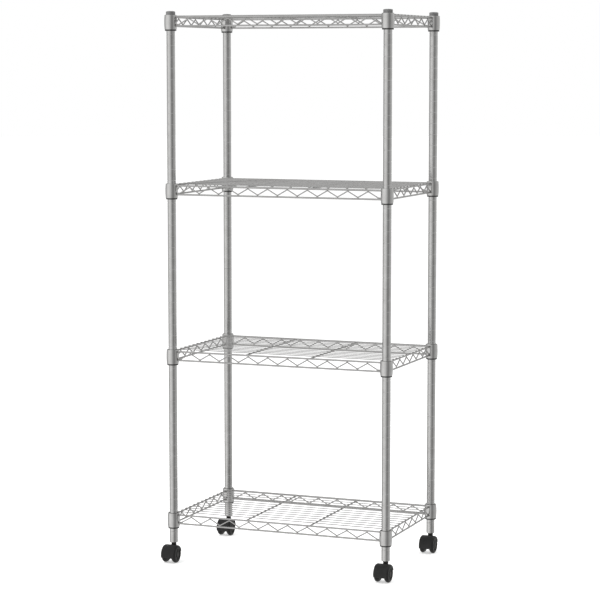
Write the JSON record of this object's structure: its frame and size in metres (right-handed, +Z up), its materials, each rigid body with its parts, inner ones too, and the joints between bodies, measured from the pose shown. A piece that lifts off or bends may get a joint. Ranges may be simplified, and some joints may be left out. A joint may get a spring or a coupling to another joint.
{
  "type": "wire shelving rack",
  "caption": "Tall rack of welded wire shelves clipped to ring-grooved round posts, standing on swivelling twin-wheel casters.",
  "frame": {"origin": "on the floor under the middle of the rack, midway between the four post axes", "axes": "+Z up along the posts, +X along the shelf's width, front of the rack at -Y"},
  "size_m": [0.5558, 0.3658, 1.2656],
  "materials": {
    "post_chrome": "bright plated tube with rolled ring grooves",
    "wire_chrome": "bright plated drawn wire, welded",
    "collar_chrome": "bright plated pressed collar",
    "sleeve_plastic": "black moulded, fine grain",
    "cap_plastic": "dark grey moulded, satin",
    "zinc_steel": "zinc plated turned steel",
    "stem_steel": "black oxide",
    "caster_plastic": "black moulded nylon, low gloss",
    "wheel_plastic": "black moulded nylon, low gloss"
  },
  "bodies": {
    "root": {"post_lower_front_left": "post_chrome", "post_upper_front_left": "post_chrome", "post_cap_front_left": "cap_plastic", "post_lower_front_right": "post_chrome", "post_upper_front_right": "post_chrome", "post_cap_front_right": "cap_plastic", "post_lower_back_right": "post_chrome", "post_upper_back_right": "post_chrome", "post_cap_back_right": "cap_plastic", "post_lower_back_left": "post_chrome", "post_upper_back_left": "post_chrome", "post_cap_back_left": "cap_plastic", "post_joint_sockets": "zinc_steel", "post_joint_studs": "zinc_steel", "post_foot_inserts": "zinc_steel", "shelf_1_corner_collars": "collar_chrome", "shelf_1_clip_sleeves": "sleeve_plastic", "shelf_1_long_trusses": "wire_chrome", "shelf_1_side_trusses": "wire_chrome", "shelf_1_cross_bars": "wire_chrome", "shelf_1_deck_wires": "wire_chrome", "shelf_2_corner_collars": "collar_chrome", "shelf_2_clip_sleeves": "sleeve_plastic", "shelf_2_long_trusses": "wire_chrome", "shelf_2_side_trusses": "wire_chrome", "shelf_2_cross_bars": "wire_chrome", "shelf_2_deck_wires": "wire_chrome", "shelf_3_corner_collars": "collar_chrome", "shelf_3_clip_sleeves": "sleeve_plastic", "shelf_3_long_trusses": "wire_chrome", "shelf_3_side_trusses": "wire_chrome", "shelf_3_cross_bars": "wire_chrome", "shelf_3_deck_wires": "wire_chrome", "shelf_4_corner_collars": "collar_chrome", "shelf_4_clip_sleeves": "sleeve_plastic", "shelf_4_long_trusses": "wire_chrome", "shelf_4_side_trusses": "wire_chrome", "shelf_4_cross_bars": "wire_chrome", "shelf_4_deck_wires": "wire_chrome", "caster_stems": "stem_steel"},
    "swivel_front_left": {"caster_front_left_hood": "caster_plastic", "caster_front_left_axle": "zinc_steel"},
    "wheel_front_left_left": {"caster_front_left_wheel_left": "wheel_plastic"},
    "wheel_front_left_right": {"caster_front_left_wheel_right": "wheel_plastic"},
    "swivel_front_right": {"caster_front_right_hood": "caster_plastic", "caster_front_right_axle": "zinc_steel"},
    "wheel_front_right_left": {"caster_front_right_wheel_left": "wheel_plastic"},
    "wheel_front_right_right": {"caster_front_right_wheel_right": "wheel_plastic"},
    "swivel_back_right": {"caster_back_right_hood": "caster_plastic", "caster_back_right_axle": "zinc_steel"},
    "wheel_back_right_left": {"caster_back_right_wheel_left": "wheel_plastic"},
    "wheel_back_right_right": {"caster_back_right_wheel_right": "wheel_plastic"},
    "swivel_back_left": {"caster_back_left_hood": "caster_plastic", "caster_back_left_axle": "zinc_steel"},
    "wheel_back_left_left": {"caster_back_left_wheel_left": "wheel_plastic"},
    "wheel_back_left_right": {"caster_back_left_wheel_right": "wheel_plastic"}
  },
  "joints": [
    {"name": "front_left_swivel", "type": "hinge", "parent": "root", "child": "swivel_front_left", "pos_m": [-0.2605, -0.1575, 0.0345], "axis": [0, 0, 1], "continuous": true},
    {"name": "front_left_left_roll", "type": "hinge", "parent": "swivel_front_left", "child": "wheel_front_left_left", "pos_m": [-0.2715, -0.1725, 0.0195], "axis": [1, 0, 0], "continuous": true},
    {"name": "front_left_right_roll", "type": "hinge", "parent": "swivel_front_left", "child": "wheel_front_left_right", "pos_m": [-0.2495, -0.1725, 0.0195], "axis": [1, 0, 0], "continuous": true},
    {"name": "front_right_swivel", "type": "hinge", "parent": "root", "child": "swivel_front_right", "pos_m": [0.2605, -0.1575, 0.0345], "axis": [0, 0, 1], "continuous": true},
    {"name": "front_right_left_roll", "type": "hinge", "parent": "swivel_front_right", "child": "wheel_front_right_left", "pos_m": [0.2495, -0.1725, 0.0195], "axis": [1, 0, 0], "continuous": true},
    {"name": "front_right_right_roll", "type": "hinge", "parent": "swivel_front_right", "child": "wheel_front_right_right", "pos_m": [0.2715, -0.1725, 0.0195], "axis": [1, 0, 0], "continuous": true},
    {"name": "back_right_swivel", "type": "hinge", "parent": "root", "child": "swivel_back_right", "pos_m": [0.2605, 0.1575, 0.0345], "axis": [0, 0, 1], "continuous": true},
    {"name": "back_right_left_roll", "type": "hinge", "parent": "swivel_back_right", "child": "wheel_back_right_left", "pos_m": [0.2495, 0.1425, 0.0195], "axis": [1, 0, 0], "continuous": true},
    {"name": "back_right_right_roll", "type": "hinge", "parent": "swivel_back_right", "child": "wheel_back_right_right", "pos_m": [0.2715, 0.1425, 0.0195], "axis": [1, 0, 0], "continuous": true},
    {"name": "back_left_swivel", "type": "hinge", "parent": "root", "child": "swivel_back_left", "pos_m": [-0.2605, 0.1575, 0.0345], "axis": [0, 0, 1], "continuous": true},
    {"name": "back_left_left_roll", "type": "hinge", "parent": "swivel_back_left", "child": "wheel_back_left_left", "pos_m": [-0.2715, 0.1425, 0.0195], "axis": [1, 0, 0], "continuous": true},
    {"name": "back_left_right_roll", "type": "hinge", "parent": "swivel_back_left", "child": "wheel_back_left_right", "pos_m": [-0.2495, 0.1425, 0.0195], "axis": [1, 0, 0], "continuous": true}
  ]
}
